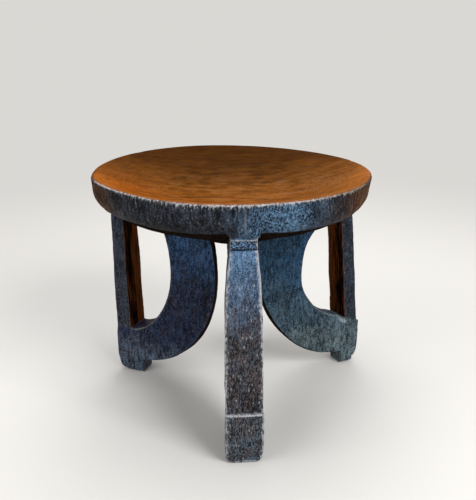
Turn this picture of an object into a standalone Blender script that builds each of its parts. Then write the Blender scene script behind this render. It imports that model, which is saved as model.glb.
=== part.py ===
"""A carved three-legged stool: a round dished seat on three flat legs, each pierced by a D-shaped window.

The stool is cut from one block of wood. It is modelled as the forms that the carver made: the seat, and in
each leg an outer post, a curved inner brace and a foot block. Units are metres and +Z is up. The origin is on
the floor, under the middle of the stool's plan.
"""
import math

import bmesh
import bpy
from mathutils import Matrix, Vector

# Seat: a shallow bowl with an upright side and a full, rounded underside
SEAT_RADIUS = 0.155
SEAT_HEIGHT = 0.2695
SIDE_HEIGHT = 0.015
BELLY_DEPTH = 0.043
BELLY_FULLNESS = 2.4
DISH_DEPTH = 0.026
DISH_FULLNESS = 2.3
LIP_WIDTH = 0.005
LIP_DROP = 0.003

# Post: the upright outer bar of a leg, narrow under the seat and wide at its ledge
POST_INSET = 0.0025
POST_DEPTH = 0.0165
POST_WIDTH = 0.0388
NECK_WIDTH = 0.0285
NECK_CURVE = 3.5
HEAD_FLARE = 0.009
COLLAR_DROP = 0.0325
COLLAR_HEIGHT = 0.009
COLLAR_RAISE = 0.0014

# Foot block: stands proud of the post below the ledge, and ends in a short stub
LEDGE_HEIGHT = 0.059
LEDGE_STEP = 0.0035
HEEL_HEIGHT = 0.026
STUB_HEIGHT = 0.018
STUB_ROUND = 0.009

# Brace: the curved blade between the post's foot and the seat, thin along its inner edge
BRACE_REACH = 0.130
BRACE_EDGE = 0.0065
BRACE_WAIST = 0.140
BRACE_RISE = 0.160
BRACE_LEVEL = 0.007

# Window between post and brace
WINDOW_REACH = 0.056
WINDOW_NECK = 0.018

# The three legs are carved by eye, so each has its own place, lean, window heights, heel and stub length.
# The lean is how far the ledge stands out past the neck, and the heel how far the stub sits back.
LEGS = {
    "front": dict(azimuth=-90.0, lean=0.0120, waist=0.138, sill=0.061, rise=0.098, heel=0.0045, stub=0.0230),
    "left": dict(azimuth=153.5, lean=-0.0057, waist=0.146, sill=0.060, rise=0.104, heel=0.0110, stub=0.0225),
    "right": dict(azimuth=21.9, lean=0.0172, waist=0.126, sill=0.070, rise=0.080, heel=0.0075, stub=0.0155),
}

# Finish and fit
EDGE_ROUND = 0.0018
SEAM_RISE = 0.002
SEAM_INSET = 0.004
GAP = 0.0003
TURN_STEPS = 64
CUT_MARGIN = 0.03

SEAT_BROWN = (0.165, 0.066, 0.024, 1.0)
LEG_BLACK = (0.022, 0.020, 0.021, 1.0)

PARTS_NAME = "makonde_stool"
CUTTERS_NAME = "stool_cutters"


def new_collection(name):
    """Return an empty collection of this name, linked to the scene."""
    old = bpy.data.collections.get(name)
    if old:
        bpy.data.collections.remove(old)
    collection = bpy.data.collections.new(name)
    bpy.context.scene.collection.children.link(collection)
    return collection


def wood(name, colour, roughness):
    """Return a plain wood finish."""
    material = bpy.data.materials.new(name)
    material.use_nodes = True
    shader = material.node_tree.nodes["Principled BSDF"]
    shader.inputs["Base Color"].default_value = colour
    shader.inputs["Roughness"].default_value = roughness
    shader.inputs["Metallic"].default_value = 0.0
    return material


def place(mesh, name, collection, parent):
    """Return a new object that holds the mesh, in its collection and under its parent."""
    piece = bpy.data.objects.new(name, mesh)
    collection.objects.link(piece)
    piece.parent = parent
    return piece


def evaluated_mesh(piece):
    """Return a copy of the object's mesh with its modifiers applied."""
    bpy.context.view_layer.update()
    depsgraph = bpy.context.evaluated_depsgraph_get()
    return bpy.data.meshes.new_from_object(piece.evaluated_get(depsgraph))


def boolean(piece, cutter, operation):
    """Cut, or keep, what the cutter covers."""
    modifier = piece.modifiers.new(cutter.name, "BOOLEAN")
    modifier.object = cutter
    modifier.operation = operation
    modifier.solver = "EXACT"


def arc(centre, across, up, start, end, count):
    """Return points on an ellipse's arc, from one angle to the other, in degrees from +u towards +z."""
    angles = [math.radians(start + (end - start) * i / count) for i in range(count + 1)]
    return [(centre[0] + across * math.cos(a), centre[1] + up * math.sin(a)) for a in angles]


def prism(outline, half_thickness, rounding):
    """Return a closed mesh of an outline in the radial and upward plane, extruded to both sides.

    The outline is a filled flat curve. Its bevel rounds the long edges, inside the outline's own size.
    """
    curve = bpy.data.curves.new("outline", "CURVE")
    curve.dimensions = "2D"
    curve.fill_mode = "BOTH"
    curve.extrude = half_thickness - rounding
    curve.bevel_depth = rounding
    curve.bevel_resolution = 1
    curve.offset = -rounding
    spline = curve.splines.new("POLY")
    spline.points.add(len(outline) - 1)
    for point, (radial, height) in zip(spline.points, outline):
        point.co = (radial, height, 0.0, 1.0)
    spline.use_cyclic_u = True
    guide = bpy.data.objects.new("outline", curve)
    bpy.context.scene.collection.objects.link(guide)
    mesh = evaluated_mesh(guide)
    bpy.data.objects.remove(guide)
    bpy.data.curves.remove(curve)
    mesh.transform(Matrix.Rotation(math.radians(90.0), 4, "X"))
    body = bmesh.new()
    body.from_mesh(mesh)
    bmesh.ops.remove_doubles(body, verts=body.verts, dist=1e-6)
    bmesh.ops.recalc_face_normals(body, faces=body.faces)
    body.to_mesh(mesh)
    body.free()
    return mesh


def hidden(mesh, name, parent):
    """Return a cutter: a wire object that isn't part of the stool."""
    cutter = place(mesh, name, cutters, parent)
    cutter.display_type = "WIRE"
    cutter.hide_render = True
    return cutter


def belly(grow):
    """Return the seat's lower half section, from the foot of its upright side to the axis.

    It is a superellipse: the depth follows the root of one less the radius to the power BELLY_FULLNESS.
    """
    points = []
    count = 14
    for i in range(count + 1):
        angle = math.radians(90.0 * i / count)
        radius = (SEAT_RADIUS + grow) * max(0.0, math.cos(angle)) ** (2.0 / BELLY_FULLNESS)
        depth = SIDE_HEIGHT + (BELLY_DEPTH + grow) * math.sin(angle)
        points.append((0.0 if i == count else radius, SEAT_HEIGHT - depth))
    return points


def dish():
    """Return the seat's upper half section, from the middle of the dish to the rounded lip."""
    edge = SEAT_RADIUS - LIP_WIDTH
    count = 9
    points = []
    for i in range(count):
        share = i / count
        points.append((edge * share, SEAT_HEIGHT - DISH_DEPTH * (1.0 - share ** DISH_FULLNESS)))
    return points + arc((edge, SEAT_HEIGHT - LIP_DROP), LIP_WIDTH, LIP_DROP, 90.0, 0.0, 4)


def turned(points, name):
    """Return a mesh object of a half section, turned about the Z axis by a Screw."""
    mesh = bpy.data.meshes.new(name)
    edges = [(i, i + 1) for i in range(len(points) - 1)]
    mesh.from_pydata([(radius, 0.0, height) for radius, height in points], edges, [])
    piece = bpy.data.objects.new(name, mesh)
    screw = piece.modifiers.new("turn", "SCREW")
    screw.axis = "Z"
    screw.steps = TURN_STEPS
    screw.render_steps = TURN_STEPS
    screw.use_merge_vertices = True
    screw.merge_threshold = 1e-5
    return piece


def lean_at(leg, height):
    """Return how far the leg has moved outwards at this height: none at the seat, all of it at the ledge."""
    top = SEAT_HEIGHT - SIDE_HEIGHT
    return leg["lean"] * min(1.0, (top - height) / (top - LEDGE_HEIGHT))


def leaned(leg, outline):
    """Return the upright leg's outline, with its lean."""
    return [(u + lean_at(leg, z), z) for u, z in outline]


POST_OUTER = SEAT_RADIUS - POST_INSET
POST_INNER = POST_OUTER - POST_DEPTH
BRACE_INNER = POST_OUTER - BRACE_REACH
BLOCK_OUTER = POST_OUTER + LEDGE_STEP
LEG_TOP = SEAT_HEIGHT - SIDE_HEIGHT


def upright(radial, start, end, count):
    """Return points on a vertical line, without its last one."""
    return [(radial, start + (end - start) * i / count) for i in range(count)]


def side_outline(leg):
    """Return the leg's outline seen along the seat's edge: post, foot block, stub and brace in one loop."""
    collar_top = SEAT_HEIGHT - COLLAR_DROP
    collar_foot = collar_top - COLLAR_HEIGHT
    collar_face = POST_OUTER + COLLAR_RAISE
    stub_outer = BLOCK_OUTER - leg["heel"]
    stub_inner = stub_outer - leg["stub"]
    level = stub_inner - BRACE_LEVEL
    bow = level - BRACE_INNER
    post = upright(POST_INNER, leg["sill"], collar_foot, 8) + upright(POST_INNER, collar_foot, LEG_TOP, 5)
    post += [(POST_INNER, LEG_TOP)]
    post += upright(POST_OUTER, LEG_TOP, collar_top, 3) + [(POST_OUTER, collar_top)]
    post += [(collar_face, collar_top), (collar_face, collar_foot)]
    post += upright(POST_OUTER, collar_foot, LEDGE_HEIGHT, 8) + [(POST_OUTER, LEDGE_HEIGHT)]
    block = [(BLOCK_OUTER, LEDGE_HEIGHT)]
    heel = arc((stub_outer, HEEL_HEIGHT), leg["heel"], HEEL_HEIGHT - STUB_ROUND, 0.0, -90.0, 5)
    stub = upright(stub_outer, STUB_ROUND, 0.0, 4)[1:] + [(stub_outer, 0.0)]
    stub += upright(stub_inner, 0.0, STUB_ROUND, 4) + [(stub_inner, STUB_ROUND), (stub_inner, STUB_HEIGHT)]
    under = arc((level, BRACE_WAIST), bow, BRACE_WAIST - STUB_HEIGHT, 270.0, 180.0, 14)
    over = math.degrees(math.asin((LEG_TOP - BRACE_WAIST) / BRACE_RISE))
    upper = arc((level, BRACE_WAIST), bow, BRACE_RISE, 180.0, 180.0 - over, 5)
    throat = math.degrees(math.acos(WINDOW_NECK / WINDOW_REACH))
    seat_end = [(POST_INNER - WINDOW_NECK, LEG_TOP)]
    crown = arc((POST_INNER, leg["waist"]), WINDOW_REACH, leg["rise"], 180.0 - throat, 180.0, 9)
    sill = arc((POST_INNER, leg["waist"]), WINDOW_REACH, leg["waist"] - leg["sill"], 180.0, 270.0, 10)
    return leaned(leg, post + block + heel + stub + under + upper[1:] + seat_end + crown + sill[1:-1])


def post_half_width(height):
    """Return half the leg's width seen from outside.

    It is even below the ledge, drawn in to the neck by a power curve above it, and flared again under the
    rim. Near the floor the corners of the stub are rounded off by an arc.
    """
    collar_top = SEAT_HEIGHT - COLLAR_DROP
    neck = collar_top - COLLAR_HEIGHT
    if height > collar_top:
        return NECK_WIDTH / 2 + HEAD_FLARE * ((height - collar_top) / (LEG_TOP - collar_top)) ** 2
    if height > LEDGE_HEIGHT:
        share = min(1.0, (height - LEDGE_HEIGHT) / (neck - LEDGE_HEIGHT))
        return POST_WIDTH / 2 - (POST_WIDTH - NECK_WIDTH) / 2 * share ** NECK_CURVE
    sunk = min(STUB_ROUND, max(0.0, STUB_ROUND - height))
    return POST_WIDTH / 2 - STUB_ROUND + math.sqrt(STUB_ROUND ** 2 - sunk ** 2)


def leg_blank(leg):
    """Return the mesh of a whole leg: a blade that widens outwards, no wider than the post, with worn edges.

    The blade's two faces are planes, BRACE_EDGE apart at its inner edge and POST_WIDTH apart at the ledge.
    """
    mesh = prism(side_outline(leg), POST_WIDTH / 2, EDGE_ROUND)
    thin = BRACE_INNER + lean_at(leg, BRACE_WAIST)
    thick = POST_OUTER + leg["lean"]
    for vertex in mesh.vertices:
        share = (vertex.co.x - thin) / (thick - thin)
        blade = (BRACE_EDGE + (POST_WIDTH - BRACE_EDGE) * share) / 2
        taken = POST_WIDTH / 2 - min(blade, post_half_width(vertex.co.z))
        vertex.co.y -= math.copysign(taken, vertex.co.y)
    return mesh


def post_region(leg, grow):
    """Return the outline of the space that the post takes: outside the window, above the window's sill."""
    inside = POST_INNER - WINDOW_NECK / 3
    outside = BLOCK_OUTER + CUT_MARGIN
    seam = leg["sill"] + SEAM_RISE - grow
    high = SEAT_HEIGHT + CUT_MARGIN
    return leaned(leg, [(inside, seam), (outside, seam), (outside, high), (inside, high)])


def foot_region(leg, grow):
    """Return the outline of the space that the foot block takes: outwards from a little inside the stub."""
    inside = BLOCK_OUTER - leg["heel"] - leg["stub"] - SEAM_INSET - grow + leg["lean"]
    outside = BLOCK_OUTER + leg["lean"] + CUT_MARGIN
    high = leg["waist"]
    return [(inside, -CUT_MARGIN), (outside, -CUT_MARGIN), (outside, high), (inside, high)]


def make_seat(root):
    """Make the seat: one turned body, dished above and rounded below."""
    seat = turned(dish() + belly(0.0), "seat")
    parts.objects.link(seat)
    seat.parent = root
    seat.data.shade_smooth()
    seat.data.materials.append(wood("seat_wood", SEAT_BROWN, 0.4))


def make_leg(name, leg, root, seat_space):
    """Make one leg's post, brace and foot block, each butted to its neighbours with a fine gap."""
    hub = bpy.data.objects.new("leg_" + name, None)
    parts.objects.link(hub)
    hub.parent = root
    hub.rotation_euler.z = math.radians(leg["azimuth"])
    blank = leg_blank(leg)
    wide = POST_WIDTH / 2 + CUT_MARGIN
    post_space = hidden(prism(post_region(leg, 0.0), wide, 0.0), "post_space_" + name, hub)
    post_cut = hidden(prism(post_region(leg, GAP), wide, 0.0), "post_cut_" + name, hub)
    foot_space = hidden(prism(foot_region(leg, 0.0), wide, 0.0), "foot_space_" + name, hub)
    foot_cut = hidden(prism(foot_region(leg, GAP), wide, 0.0), "foot_cut_" + name, hub)
    steps = {
        "post": [(post_space, "INTERSECT"), (seat_space, "DIFFERENCE")],
        "brace": [(foot_cut, "DIFFERENCE"), (post_cut, "DIFFERENCE"), (seat_space, "DIFFERENCE")],
        "foot": [(foot_space, "INTERSECT"), (post_cut, "DIFFERENCE")],
    }
    for kind, cuts in steps.items():
        piece = place(blank.copy(), "leg_" + name + "_" + kind, parts, hub)
        for cutter, operation in cuts:
            boolean(piece, cutter, operation)
        piece.data.materials.append(wood(piece.name + "_wood", LEG_BLACK, 0.45))


def centre_on_plan(root):
    """Move the whole stool so that the middle of its plan is over the origin."""
    bpy.context.view_layer.update()
    depsgraph = bpy.context.evaluated_depsgraph_get()
    corners = []
    for piece in parts.objects:
        if piece.type == "MESH":
            solid = piece.evaluated_get(depsgraph)
            corners += [solid.matrix_world @ vertex.co for vertex in solid.data.vertices]
    low = Vector(min(corner[axis] for corner in corners) for axis in range(3))
    high = Vector(max(corner[axis] for corner in corners) for axis in range(3))
    root.location = (-(low.x + high.x) / 2, -(low.y + high.y) / 2, 0.0)


for leftover in list(bpy.data.objects):
    bpy.data.objects.remove(leftover)
parts = new_collection(PARTS_NAME)
cutters = new_collection(CUTTERS_NAME)
stool = bpy.data.objects.new("stool", None)
parts.objects.link(stool)

make_seat(stool)
seat_top = [(0.0, SEAT_HEIGHT + CUT_MARGIN), (SEAT_RADIUS + GAP, SEAT_HEIGHT + CUT_MARGIN)]
seat_cutter = turned(seat_top + belly(GAP), "seat_space")
cutters.objects.link(seat_cutter)
seat_cutter.parent = stool
seat_cutter.display_type = "WIRE"
seat_cutter.hide_render = True
for leg_name, leg_sizes in LEGS.items():
    make_leg(leg_name, leg_sizes, stool, seat_cutter)
centre_on_plan(stool)
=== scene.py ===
"""Looks of a carved three-legged stool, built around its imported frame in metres."""
import math

import bpy
import numpy as np
from mathutils import Matrix, Vector


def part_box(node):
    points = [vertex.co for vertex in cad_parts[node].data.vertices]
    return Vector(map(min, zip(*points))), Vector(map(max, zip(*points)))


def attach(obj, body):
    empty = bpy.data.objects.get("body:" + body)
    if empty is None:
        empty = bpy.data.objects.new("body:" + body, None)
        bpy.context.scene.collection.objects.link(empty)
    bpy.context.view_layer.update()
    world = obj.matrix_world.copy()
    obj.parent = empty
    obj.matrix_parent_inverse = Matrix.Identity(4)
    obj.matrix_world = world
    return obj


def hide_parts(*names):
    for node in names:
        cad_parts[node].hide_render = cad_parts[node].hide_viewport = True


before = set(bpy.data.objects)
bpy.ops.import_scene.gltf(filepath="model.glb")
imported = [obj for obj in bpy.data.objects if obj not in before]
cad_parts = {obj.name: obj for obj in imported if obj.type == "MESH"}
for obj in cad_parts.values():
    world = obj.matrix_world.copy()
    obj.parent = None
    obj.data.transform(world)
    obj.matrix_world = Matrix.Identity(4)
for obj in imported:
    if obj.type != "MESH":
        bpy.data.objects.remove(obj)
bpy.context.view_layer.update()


# Legs
# Each leg is one flat blade of the block, chopped to a post, a curved brace and a foot block round a D-shaped
# window. The blade is thin at its inner edge and as wide as the post outside, and all of it is near black.
seat_low, seat_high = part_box("seat")
AXIS = (seat_low + seat_high) / 2
SEAT_RADIUS = (seat_high.x - seat_low.x) / 2
SEAT_TOP = seat_high.z
POST_OUTER = SEAT_RADIUS - 0.0025
POST_INNER = POST_OUTER - 0.0165
POST_WIDTH = 0.0388
COLLAR_TOP = SEAT_TOP - 0.0325
COLLAR_FOOT = COLLAR_TOP - 0.0090
COLLAR_RAISE = 0.0013
COLLAR_SOFT = 0.0006
COLLAR_BLUNT = 0.0005
INCISION_DEPTH = 0.0012
INCISION_HALF = 0.0009
LEDGE_HEIGHT = 0.059
BLOCK_OUTER = POST_OUTER + 0.0035
HEEL_HEIGHT = 0.026
STUB_HEIGHT = 0.018
STUB_ROUND = 0.009
SOLE_FLAT = (0.001, 0.008)
PARED_BELOW = 0.0050
PARED_ABOVE = 0.0010
BRACE_INNER = POST_OUTER - 0.130
BRACE_EDGE = 0.0080
BRACE_WAIST = 0.140
BRACE_RISE = 0.160
BRACE_LEVEL = 0.007
WINDOW_REACH = 0.056
WINDOW_NECK = 0.018
NOTCH_REACH = 0.011
FACET_DEPTH = (0.0022, 0.0058)
CROWN_DEPTH = 0.014
CROWN_POWER = 1.5
THROAT_SOFT = 31
SEAM_RISE = 0.002
SEAM_INSET = 0.004
LEAN_TOP = SEAT_TOP - 0.015
POST_END = SEAT_TOP - 0.017
BRACE_END = SEAT_TOP - 0.034
EDGE_ROUND = 0.0016
SILL_ROUND = 0.0034
# Painted shade in the window: the post's inner faces take it fully, the sill, which stands lit, only this
# share.
SILL_DARK = 0.12
CORNER_ROUND = 0.0015
FACE_CROWN = 0.0009
GOUGE_DEPTH = 0.00042
GOUGE_SIZE = (0.0050, 0.0050, 0.0085)
GOUGE_LEVEL = 0.4
WAVE_DEPTH = 0.00055
WAVE_SIZE = (0.013, 0.013, 0.024)
EDGE_WAVE_DEPTH = 0.00030
EDGE_WAVE_SIZE = (0.012, 0.012, 0.018)
CHIP_DEPTH = 0.00045
CHIP_SIZE = 0.007
# Painted highlights: pale lines on the ledge's and the collar's upper edges; the sole's pale line is wear.
LEDGE_HIGHLIGHT = 1.42
COLLAR_HIGHLIGHT = 1.2
SOLE_WORN = 1.12
LEGS = {
    "front": dict(
        azimuth=-90.0, lean=0.0120, waist=0.138, sill=0.061, rise=0.098, heel=0.0045, stub=0.0230,
        heel_low=0.0090, neck=0.0262, neck_power=3.5, flare=0.0, stub_far=0.030,
        crown=0.0, notch=0.0, facet_light=0.0, sill_edge_highlight=1.0, far_side=1.0, worn=0.0032, edge_highlight=0.38,
    ),
    "left": dict(
        azimuth=153.5, lean=-0.0057, waist=0.146, sill=0.060, rise=0.104, heel=0.0110, stub=0.0225,
        heel_low=0.0012, neck=0.0285, neck_power=1.6, flare=0.0026, stub_far=0.0075,
        crown=0.0, notch=0.0, facet_light=0.0, sill_edge_highlight=2.4, far_side=-1.0, worn=0.0012, edge_highlight=0.0,
    ),
    "right": dict(
        azimuth=21.9, lean=0.0172, waist=0.126, sill=0.070, rise=0.080, heel=0.0075, stub=0.0155,
        heel_low=0.0090, neck=0.0285, neck_power=3.5, flare=0.0008, stub_far=0.0070,
        crown=0.0045, notch=0.0055, facet_light=2.6, sill_edge_highlight=2.4, far_side=1.0, worn=0.0012, edge_highlight=0.0,
    ),
}


def ease(values, start, end):
    """Return 0 before start and 1 after end, with the smooth step 3tt - 2ttt between them."""
    share = np.clip((values - start) / (end - start), 0.0, 1.0)
    return share * share * (3.0 - 2.0 * share)


def lattice_noise(points, cell, seed):
    """Return smooth noise from -1 to 1: random heights on a lattice of cells, blended by the smooth step."""
    size = 48
    heights = np.random.default_rng(seed).uniform(-1.0, 1.0, (size, size, size))
    place = points / np.asarray(cell)
    base = np.floor(place).astype(int)
    share = ease(place - base, 0.0, 1.0)
    total = np.zeros(points.shape[:-1])
    for corner in np.ndindex(2, 2, 2):
        weight = np.where(corner, share, 1.0 - share).prod(axis=-1)
        i, j, k = np.moveaxis((base + corner) % size, -1, 0)
        total += weight * heights[i, j, k]
    return total


def gouge_cuts(points, cell, seed):
    """Return how far each point is from the nearest of many scattered cut centres, in cells.

    One centre lies at random in each cell. The value is nil in the middle of a cut and about 0.7 on the
    ridges between cuts.
    """
    size = 32
    jitter = np.random.default_rng(seed).random((size, size, size, 3))
    place = points / np.asarray(cell)
    base = np.floor(place).astype(int)
    nearest = np.full(points.shape[:-1], 9.0)
    for step in np.ndindex(3, 3, 3):
        cells = base + np.array(step) - 1
        i, j, k = np.moveaxis(cells % size, -1, 0)
        nearest = np.minimum(nearest, np.linalg.norm(cells + jitter[i, j, k] - place, axis=-1))
    return nearest


def grid_normals(points):
    """Return unit normals, the cross products of the grid's differences along rows and round columns."""
    along = np.gradient(points, axis=0)
    across = np.roll(points, -1, axis=1) - np.roll(points, 1, axis=1)
    normals = np.cross(along, across)
    return normals / np.maximum(np.linalg.norm(normals, axis=-1, keepdims=True), 1e-12)


def put_tube(name, points, normals, masks):
    """Return an object of a grid of points, closed round its columns and capped by a fan at each end.

    Its normals are given, so that pieces cut from one surface shade as one.
    """
    rows, columns = points.shape[:2]
    index = np.arange(rows * columns).reshape(rows, columns)
    beside = np.roll(index, -1, axis=1)
    quads = np.stack([index[:-1], index[1:], beside[1:], beside[:-1]], axis=-1).reshape(-1, 4)
    first = np.stack([index[0], beside[0], np.full(columns, rows * columns)], axis=-1)
    last = np.stack([beside[-1], index[-1], np.full(columns, rows * columns + 1)], axis=-1)
    fans = np.concatenate([first, last])

    def with_ends(values):
        flat = values.reshape((rows * columns,) + values.shape[2:])
        return np.concatenate([flat, values[:1].mean(axis=1), values[-1:].mean(axis=1)])

    mesh = bpy.data.meshes.new(name)
    mesh.vertices.add(rows * columns + 2)
    mesh.vertices.foreach_set("co", with_ends(points).ravel())
    mesh.loops.add(quads.size + fans.size)
    mesh.loops.foreach_set("vertex_index", np.concatenate([quads.ravel(), fans.ravel()]))
    mesh.polygons.add(len(quads) + len(fans))
    starts = np.concatenate([np.arange(len(quads)) * 4, quads.size + np.arange(len(fans)) * 3])
    mesh.polygons.foreach_set("loop_start", starts)
    mesh.update(calc_edges=True)
    mesh.polygons.foreach_set("use_smooth", np.ones(len(mesh.polygons), dtype=bool))
    for mask, values in masks.items():
        layer = mesh.attributes.new(mask, "FLOAT", "POINT")
        layer.data.foreach_set("value", with_ends(values).astype(np.float32))
    mesh.normals_split_custom_set_from_vertices(with_ends(normals).tolist())
    piece = bpy.data.objects.new(name, mesh)
    bpy.context.scene.collection.objects.link(piece)
    return piece


def arc(centre, across, up, start, end, count=40):
    """Return points on an ellipse's arc, from one angle to the other, in degrees from outwards to upwards."""
    turn = np.radians(np.linspace(start, end, count))
    return np.stack([centre[0] + across * np.cos(turn), centre[1] + up * np.sin(turn)], axis=-1)


def walk(path, shares):
    """Return the points at these shares of a path's length."""
    length = np.concatenate([[0.0], np.cumsum(np.linalg.norm(np.diff(path, axis=0), axis=1))])
    return np.stack([np.interp(shares * length[-1], length, path[:, i]) for i in range(2)], axis=-1)


def sill_arc(leg, start, end):
    """Return the window's lower curve, part of an ellipse, with the leg's notch cut beside the post."""
    path = arc((POST_INNER, leg["waist"]), WINDOW_REACH, leg["waist"] - leg["sill"], start, end)
    path[:, 1] -= leg["notch"] * (1.0 - ease(POST_INNER - path[:, 0], 0.0, NOTCH_REACH))
    return path


def post_stations(leg):
    """Return the post's stations: straight inside, and outside with the collar and the line cut under it."""
    heights = np.concatenate([
        np.linspace(POST_END, COLLAR_TOP + 0.003, 12),
        np.linspace(COLLAR_TOP + 0.003, COLLAR_FOOT - 0.003, 46)[1:],
        np.linspace(COLLAR_FOOT - 0.003, leg["sill"] - leg["notch"] + SEAM_RISE, 140)[1:],
    ])
    collar = ease(heights, COLLAR_FOOT, COLLAR_FOOT + COLLAR_SOFT)
    collar = collar - ease(heights, COLLAR_TOP - COLLAR_BLUNT, COLLAR_TOP + COLLAR_BLUNT)
    incision = np.exp(-((heights - COLLAR_FOOT + INCISION_HALF) / INCISION_HALF) ** 2)
    flare = leg["flare"] * (1.0 - 0.6 * ease(heights, LEDGE_HEIGHT, COLLAR_FOOT))
    face = POST_OUTER + flare + COLLAR_RAISE * collar - INCISION_DEPTH * incision
    return np.stack([np.full(len(heights), POST_INNER), heights], axis=-1), np.stack([face, heights], axis=-1)


def foot_stations(leg, split, split_turn):
    """Return the foot block's stations, a fan from the window's corner round ledge, heel, sole and stub."""
    seam = leg["sill"] - leg["notch"] + SEAM_RISE
    face = POST_OUTER + leg["flare"]
    stub_outer = BLOCK_OUTER - leg["heel"]
    stub_inner = stub_outer - leg["stub"]
    round_off = CORNER_ROUND
    corner = arc((POST_INNER - SEAM_RISE, seam), SEAM_RISE, SEAM_RISE, 0.0, -90.0, 8)
    inside = np.concatenate([corner, sill_arc(leg, 267.0, split_turn)])
    ledge = arc((BLOCK_OUTER - round_off, LEDGE_HEIGHT - round_off), round_off, round_off, 90.0, 0.0, 8)
    heel = arc((stub_outer, HEEL_HEIGHT), leg["heel"], HEEL_HEIGHT - leg["heel_low"], 0.0, -90.0, 24)
    toe_round = min(round_off, leg["heel_low"])
    toe = arc((stub_outer - toe_round, toe_round), toe_round, toe_round, 0.0, -90.0, 8)
    back = arc((stub_inner + round_off, round_off), round_off, round_off, 270.0, 180.0, 8)
    throat = arc((stub_inner - round_off, STUB_HEIGHT - round_off), round_off, round_off, 0.0, 90.0, 8)
    # A stretch has its path, its number of stations, and the share of the window's side that they reach.
    stretches = [
        (np.concatenate([[(face, seam), (face, LEDGE_HEIGHT + 0.0006)], ledge]), 30, 0.12),
        (np.concatenate([ledge[-1:], heel, toe]), 60, 0.35),
        (np.concatenate([toe[-1:], back]), 26, 0.72),
        (np.concatenate([back[-1:], throat, [(split, STUB_HEIGHT)]]), 34, 1.0),
    ]
    outside = []
    shares = [np.zeros(1)]
    for path, count, share in stretches:
        steps = np.linspace(0.0, 1.0, count)[1:]
        outside.append(walk(path, steps))
        shares.append(shares[-1][-1] + (share - shares[-1][-1]) * steps)
    return walk(inside, np.concatenate(shares[1:])), np.concatenate(outside)


def brace_stations(leg, split, split_turn):
    """Return the brace's stations, which climb between the window's ellipse and the brace's own.

    High up, a running mean rounds the corner where the window's curve turns into the neck beside the post.
    """
    level = split + SEAM_INSET - BRACE_LEVEL
    bow = level - BRACE_INNER
    window = (POST_INNER, leg["waist"])
    throat = 180.0 - math.degrees(math.acos(WINDOW_NECK / WINDOW_REACH))
    lower = sill_arc(leg, split_turn, 180.0)
    crown = arc(window, WINDOW_REACH, leg["rise"], 180.0, throat)
    inside = np.concatenate([lower, crown[1:], [(POST_INNER - WINDOW_NECK, BRACE_END + 0.006)]])
    over = 180.0 - math.degrees(math.asin((BRACE_END - BRACE_WAIST) / BRACE_RISE))
    under = arc((level, BRACE_WAIST), bow, BRACE_WAIST - STUB_HEIGHT, 270.0, 180.0)
    upper = arc((level, BRACE_WAIST), bow, BRACE_RISE, 180.0, over)
    outside = np.concatenate([[(split, STUB_HEIGHT)], under, upper[1:]])
    steps = np.linspace(0.0, 1.0, 200)[1:]
    window_side = walk(inside, steps)
    kernel = np.hanning(THROAT_SOFT + 2)[1:-1]
    kernel = kernel / kernel.sum()
    padded = np.pad(window_side, ((THROAT_SOFT // 2, THROAT_SOFT // 2), (0, 0)), mode="edge")
    soft = np.stack([np.convolve(padded[:, i], kernel, mode="valid") for i in range(2)], axis=-1)
    window_side = window_side + (soft - window_side) * ease(steps, 0.40, 0.60)[:, None]
    return window_side, walk(outside, steps)


def leg_ring():
    """Return the ring round a station: share along the flat, bulge past its ends, share of the width, swell.

    From the inner end of one side it goes out along that side, over the outer face, back along the other
    side and over the window face, with a quarter circle at each corner.
    """
    side = np.linspace(0.0, 1.0, 48)
    turn = np.linspace(0.0, math.pi / 2, 6)[1:-1]
    face = np.linspace(-1.0, 1.0, 28)
    ring = [
        (side, 0 * side, 0 * side - 1, 0 * side - 1),
        (0 * turn + 1, np.sin(turn), 0 * turn - 1, -np.cos(turn)),
        (0 * face + 1, 0 * face + 1, face, 0 * face),
        (0 * turn + 1, np.cos(turn), 0 * turn + 1, np.sin(turn)),
        (side[::-1], 0 * side, 0 * side + 1, 0 * side + 1),
        (0 * turn, -np.sin(turn), 0 * turn + 1, np.cos(turn)),
        (0 * face, 0 * face - 1, face[::-1], 0 * face),
        (0 * turn, -np.cos(turn), 0 * turn - 1, -np.sin(turn)),
    ]
    return [np.concatenate([part[i] for part in ring]) for i in range(4)]


def lean_at(leg, height):
    """Return how far the leg has moved outwards: nil at the seat, and all of its lean from the ledge down."""
    return leg["lean"] * np.minimum(1.0, (LEAN_TOP - height) / (LEAN_TOP - LEDGE_HEIGHT))


def leg_half_width(u, z, leg):
    """Return half the leg's thickness at a point of its side view.

    It is the lesser of a wedge, thin at the brace's inner edge and full at the ledge, and the post's front
    shape, which is even at the foot, drawn in to the neck by a power curve and rounded at the floor.
    """
    thin = BRACE_INNER + lean_at(leg, BRACE_WAIST)
    wedge = (BRACE_EDGE + (POST_WIDTH - BRACE_EDGE) * (u - thin) / (POST_OUTER + leg["lean"] - thin)) / 2
    rise = np.clip((z - LEDGE_HEIGHT) / (COLLAR_FOOT - LEDGE_HEIGHT), 0.0, 1.0)
    front = POST_WIDTH / 2 - (POST_WIDTH - leg["neck"]) / 2 * rise ** leg["neck_power"]
    sunk = np.clip(STUB_ROUND - z, 0.0, STUB_ROUND)
    front = front - STUB_ROUND + np.sqrt(STUB_ROUND ** 2 - sunk ** 2)
    return np.minimum(wedge, front)


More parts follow.
